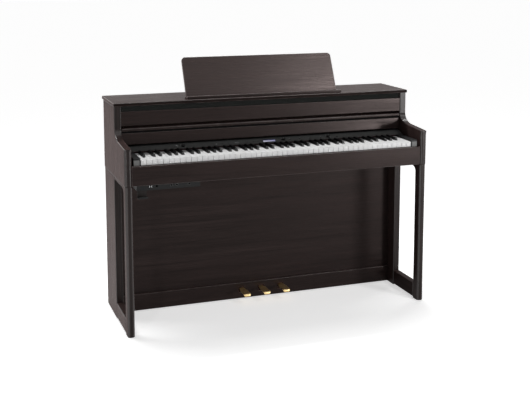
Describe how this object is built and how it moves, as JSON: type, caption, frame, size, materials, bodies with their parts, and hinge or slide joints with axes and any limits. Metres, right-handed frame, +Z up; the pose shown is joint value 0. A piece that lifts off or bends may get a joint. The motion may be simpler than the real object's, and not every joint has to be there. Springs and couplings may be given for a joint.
{
  "type": "digital piano on stand",
  "caption": "Upright digital piano in a dark wooden cabinet on its own stand, with a full keyboard, sliding key cover, folding music rest and pedals.",
  "frame": {"origin": "on the floor, under the middle of the piano's outline", "axes": "+X towards the player's right along the keyboard, +Y from the player towards the back, +Z up"},
  "size_m": [1.368, 0.4654, 1.1125],
  "materials": {
    "wood": "satin dark rosewood with a fine straight grain",
    "hardboard": "matt brown hardboard and particle board",
    "dark_plastic": "fine matt texture",
    "black_plastic": "matt",
    "white_plastic": "satin",
    "ivory": "satin with an ivory feel",
    "ebony": "satin with an ebony feel",
    "brass": "polished, slightly worn",
    "steel": "zinc plated",
    "felt": "wool felt",
    "glass": "clear window over a lit display",
    "circuit": "solder resist"
  },
  "bodies": {
    "root": {"top_board": "wood", "side_panel_left": "wood", "side_panel_right": "wood", "name_panel": "wood", "speaker_grille": "black_plastic", "control_panel": "dark_plastic", "display_window": "glass", "name_felt": "felt", "key_slip": "wood", "key_bed": "hardboard", "cheek_block_left": "dark_plastic", "cheek_block_right": "dark_plastic", "rear_cover": "hardboard", "music_ledge": "wood", "key_action_frame": "steel", "hammer_bank": "steel", "main_board": "circuit", "speaker_left": "black_plastic", "speaker_right": "black_plastic", "socket_box": "dark_plastic", "headphone_hook": "black_plastic", "front_leg_left": "wood", "foot_rail_left": "wood", "rear_post_left": "wood", "front_leg_right": "wood", "foot_rail_right": "wood", "rear_post_right": "wood", "knee_panel": "wood", "kick_rail": "wood", "pedal_box": "black_plastic"},
    "white_keys_bass": {"white_keys_bass": "ivory"},
    "black_keys_bass": {"black_keys_bass": "ebony"},
    "white_keys_treble": {"white_keys_treble": "ivory"},
    "black_keys_treble": {"black_keys_treble": "ebony"},
    "key_c4": {"key_c4": "ivory"},
    "key_c_sharp4": {"key_c_sharp4": "ebony"},
    "key_d4": {"key_d4": "ivory"},
    "key_d_sharp4": {"key_d_sharp4": "ebony"},
    "key_e4": {"key_e4": "ivory"},
    "key_f4": {"key_f4": "ivory"},
    "key_f_sharp4": {"key_f_sharp4": "ebony"},
    "key_g4": {"key_g4": "ivory"},
    "key_g_sharp4": {"key_g_sharp4": "ebony"},
    "key_a4": {"key_a4": "ivory"},
    "key_a_sharp4": {"key_a_sharp4": "ebony"},
    "key_b4": {"key_b4": "ivory"},
    "cover_guide": {"key_cover_guide": "steel"},
    "key_cover": {"key_cover_board": "wood", "key_cover_front": "wood"},
    "music_rest": {"music_rest": "wood"},
    "rest_stay": {"music_rest_stay": "steel"},
    "pedal_soft": {"pedal_soft": "brass"},
    "pedal_sostenuto": {"pedal_sostenuto": "brass"},
    "pedal_damper": {"pedal_damper": "brass"},
    "pedal_adjuster": {"pedal_adjuster": "black_plastic"},
    "volume_knob": {"volume_knob": "black_plastic"},
    "dial_knob": {"dial_knob": "black_plastic"},
    "tone_knob": {"tone_knob": "black_plastic"},
    "power_button": {"power_button": "white_plastic"},
    "panel_buttons": {"panel_buttons": "black_plastic"}
  },
  "joints": [
    {"name": "white_keys_bass_press", "type": "hinge", "parent": "root", "child": "white_keys_bass", "pos_m": [0, 0.01725, 0.725], "axis": [1, 0, 0], "range_deg": [0, 2.4], "stiffness_Nm_per_rad": 24, "springref_deg": -11.46},
    {"name": "black_keys_bass_press", "type": "hinge", "parent": "root", "child": "black_keys_bass", "pos_m": [0, 0.01725, 0.725], "axis": [1, 0, 0], "range_deg": [0, 2.4], "stiffness_Nm_per_rad": 13, "springref_deg": -11.46},
    {"name": "white_keys_treble_press", "type": "hinge", "parent": "root", "child": "white_keys_treble", "pos_m": [0, 0.01725, 0.725], "axis": [1, 0, 0], "range_deg": [0, 2.4], "stiffness_Nm_per_rad": 23, "springref_deg": -11.46},
    {"name": "black_keys_treble_press", "type": "hinge", "parent": "root", "child": "black_keys_treble", "pos_m": [0, 0.01725, 0.725], "axis": [1, 0, 0], "range_deg": [0, 2.4], "stiffness_Nm_per_rad": 12, "springref_deg": -11.46},
    {"name": "key_c4_press", "type": "hinge", "parent": "root", "child": "key_c4", "pos_m": [0, 0.01725, 0.725], "axis": [1, 0, 0], "range_deg": [0, 2.4], "stiffness_Nm_per_rad": 1.05, "springref_deg": -11.46},
    {"name": "key_c_sharp4_press", "type": "hinge", "parent": "root", "child": "key_c_sharp4", "pos_m": [0, 0.01725, 0.725], "axis": [1, 0, 0], "range_deg": [0, 2.4], "stiffness_Nm_per_rad": 0.85, "springref_deg": -11.46},
    {"name": "key_d4_press", "type": "hinge", "parent": "root", "child": "key_d4", "pos_m": [0, 0.01725, 0.725], "axis": [1, 0, 0], "range_deg": [0, 2.4], "stiffness_Nm_per_rad": 1.05, "springref_deg": -11.46},
    {"name": "key_d_sharp4_press", "type": "hinge", "parent": "root", "child": "key_d_sharp4", "pos_m": [0, 0.01725, 0.725], "axis": [1, 0, 0], "range_deg": [0, 2.4], "stiffness_Nm_per_rad": 0.85, "springref_deg": -11.46},
    {"name": "key_e4_press", "type": "hinge", "parent": "root", "child": "key_e4", "pos_m": [0, 0.01725, 0.725], "axis": [1, 0, 0], "range_deg": [0, 2.4], "stiffness_Nm_per_rad": 1.05, "springref_deg": -11.46},
    {"name": "key_f4_press", "type": "hinge", "parent": "root", "child": "key_f4", "pos_m": [0, 0.01725, 0.725], "axis": [1, 0, 0], "range_deg": [0, 2.4], "stiffness_Nm_per_rad": 1.05, "springref_deg": -11.46},
    {"name": "key_f_sharp4_press", "type": "hinge", "parent": "root", "child": "key_f_sharp4", "pos_m": [0, 0.01725, 0.725], "axis": [1, 0, 0], "range_deg": [0, 2.4], "stiffness_Nm_per_rad": 0.85, "springref_deg": -11.46},
    {"name": "key_g4_press", "type": "hinge", "parent": "root", "child": "key_g4", "pos_m": [0, 0.01725, 0.725], "axis": [1, 0, 0], "range_deg": [0, 2.4], "stiffness_Nm_per_rad": 1.05, "springref_deg": -11.46},
    {"name": "key_g_sharp4_press", "type": "hinge", "parent": "root", "child": "key_g_sharp4", "pos_m": [0, 0.01725, 0.725], "axis": [1, 0, 0], "range_deg": [0, 2.4], "stiffness_Nm_per_rad": 0.85, "springref_deg": -11.46},
    {"name": "key_a4_press", "type": "hinge", "parent": "root", "child": "key_a4", "pos_m": [0, 0.01725, 0.725], "axis": [1, 0, 0], "range_deg": [0, 2.4], "stiffness_Nm_per_rad": 1.05, "springref_deg": -11.46},
    {"name": "key_a_sharp4_press", "type": "hinge", "parent": "root", "child": "key_a_sharp4", "pos_m": [0, 0.01725, 0.725], "axis": [1, 0, 0], "range_deg": [0, 2.4], "stiffness_Nm_per_rad": 0.85, "springref_deg": -11.46},
    {"name": "key_b4_press", "type": "hinge", "parent": "root", "child": "key_b4", "pos_m": [0, 0.01725, 0.725], "axis": [1, 0, 0], "range_deg": [0, 2.4], "stiffness_Nm_per_rad": 1.05, "springref_deg": -11.46},
    {"name": "cover_slide", "type": "slide", "parent": "cover_guide", "child": "key_cover", "axis": [0, -1, 0], "range_m": [0, 0.195]},
    {"name": "cover_tilt", "type": "hinge", "parent": "root", "child": "cover_guide", "pos_m": [0, -0.00125, 0.801], "axis": [1, 0, 0], "range_deg": [0, 5.6]},
    {"name": "rest_fold", "type": "hinge", "parent": "root", "child": "music_rest", "pos_m": [0, 0.03475, 0.95081], "axis": [-1, 0, 0], "range_deg": [0, 64.3]},
    {"name": "stay_fold", "type": "hinge", "parent": "music_rest", "child": "rest_stay", "pos_m": [0, 0.06621, 1.00891], "axis": [1, 0, 0], "range_deg": [0, 130.53]},
    {"name": "pedal_soft_press", "type": "hinge", "parent": "root", "child": "pedal_soft", "pos_m": [0, 0.12675, 0.045], "axis": [1, 0, 0], "range_deg": [0, 5], "stiffness_Nm_per_rad": 12, "springref_deg": -11.46},
    {"name": "pedal_sostenuto_press", "type": "hinge", "parent": "root", "child": "pedal_sostenuto", "pos_m": [0, 0.12675, 0.045], "axis": [1, 0, 0], "range_deg": [0, 5], "stiffness_Nm_per_rad": 12, "springref_deg": -11.46},
    {"name": "pedal_damper_press", "type": "hinge", "parent": "root", "child": "pedal_damper", "pos_m": [0, 0.12675, 0.045], "axis": [1, 0, 0], "range_deg": [0, 5], "stiffness_Nm_per_rad": 12, "springref_deg": -11.46},
    {"name": "adjuster_raise", "type": "slide", "parent": "root", "child": "pedal_adjuster", "axis": [0, 0, 1], "range_m": [0, 0.006]},
    {"name": "volume_knob_turn", "type": "hinge", "parent": "root", "child": "volume_knob", "pos_m": [-0.39, -0.043, 0.746], "axis": [0, -0.3453, 0.9385], "range_deg": [-140, 140]},
    {"name": "dial_knob_turn", "type": "hinge", "parent": "root", "child": "dial_knob", "pos_m": [0.069, -0.043, 0.746], "axis": [0, -0.3453, 0.9385], "continuous": true},
    {"name": "tone_knob_turn", "type": "hinge", "parent": "root", "child": "tone_knob", "pos_m": [0.284, -0.043, 0.746], "axis": [0, -0.3453, 0.9385], "range_deg": [-140, 140]},
    {"name": "power_button_press", "type": "slide", "parent": "root", "child": "power_button", "axis": [0, 0.3453, -0.9385], "range_m": [0, 0.0008], "stiffness_N_per_m": 1000, "springref_m": -0.001},
    {"name": "panel_buttons_press", "type": "slide", "parent": "root", "child": "panel_buttons", "axis": [0, 0.3453, -0.9385], "range_m": [0, 0.0008], "stiffness_N_per_m": 1000, "springref_m": -0.001}
  ],
  "couplings": [
    {"joint": "cover_tilt", "follows": "cover_slide", "rad_per_m": 0.50072},
    {"joint": "stay_fold", "follows": "rest_fold", "ratio": 2.0298}
  ]
}
